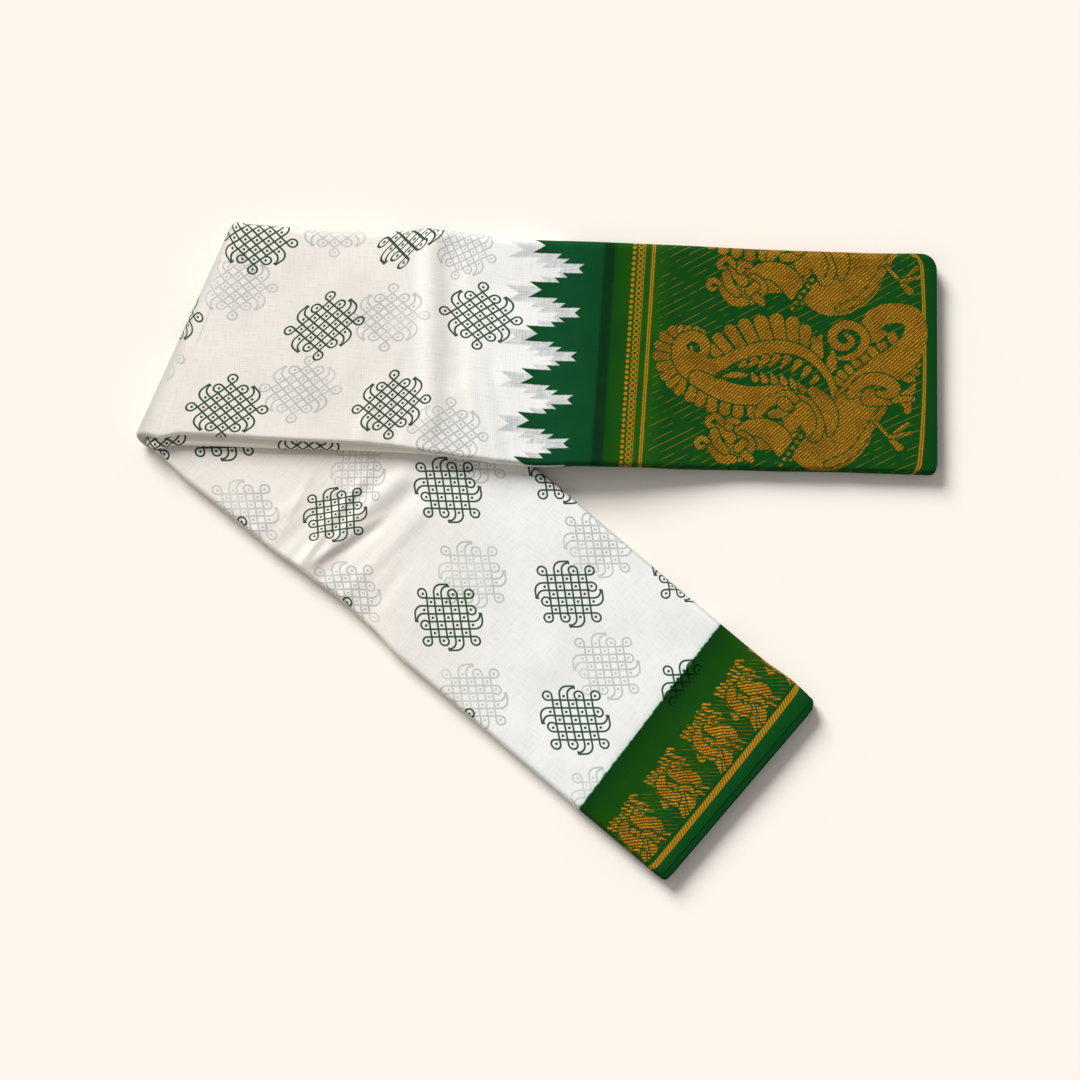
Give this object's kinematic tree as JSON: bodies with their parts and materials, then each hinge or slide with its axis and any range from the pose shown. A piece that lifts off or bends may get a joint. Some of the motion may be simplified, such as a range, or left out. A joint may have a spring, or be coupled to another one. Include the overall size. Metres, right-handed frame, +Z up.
{
  "type": "cotton saree",
  "caption": "Cotton saree folded lengthwise into a long band and turned over once into a flat V, with a wide woven border at one end and a narrow one at the other.",
  "frame": {"origin": "centre of the folded saree's bounding box, on the surface it lies on", "axes": "+X along the upper arm towards the wide border, +Y from the lower arm towards the upper arm's spine edge, +Z up"},
  "size_m": [0.6583, 0.5443, 0.0296],
  "materials": {
    "printed_cotton": "soft plain weave with a fine green line print",
    "green_border": "plain weave with figured gold thread",
    "inner_plies": "stacked cotton plies, green at the selvedges"
  },
  "bodies": {
    "root": {"upper_body": "printed_cotton", "wide_border": "green_border", "fold_turn": "printed_cotton", "lower_body": "printed_cotton", "narrow_border": "green_border", "upper_layers": "inner_plies", "lower_layers": "inner_plies", "turn_layers": "inner_plies"}
  },
  "joints": []
}
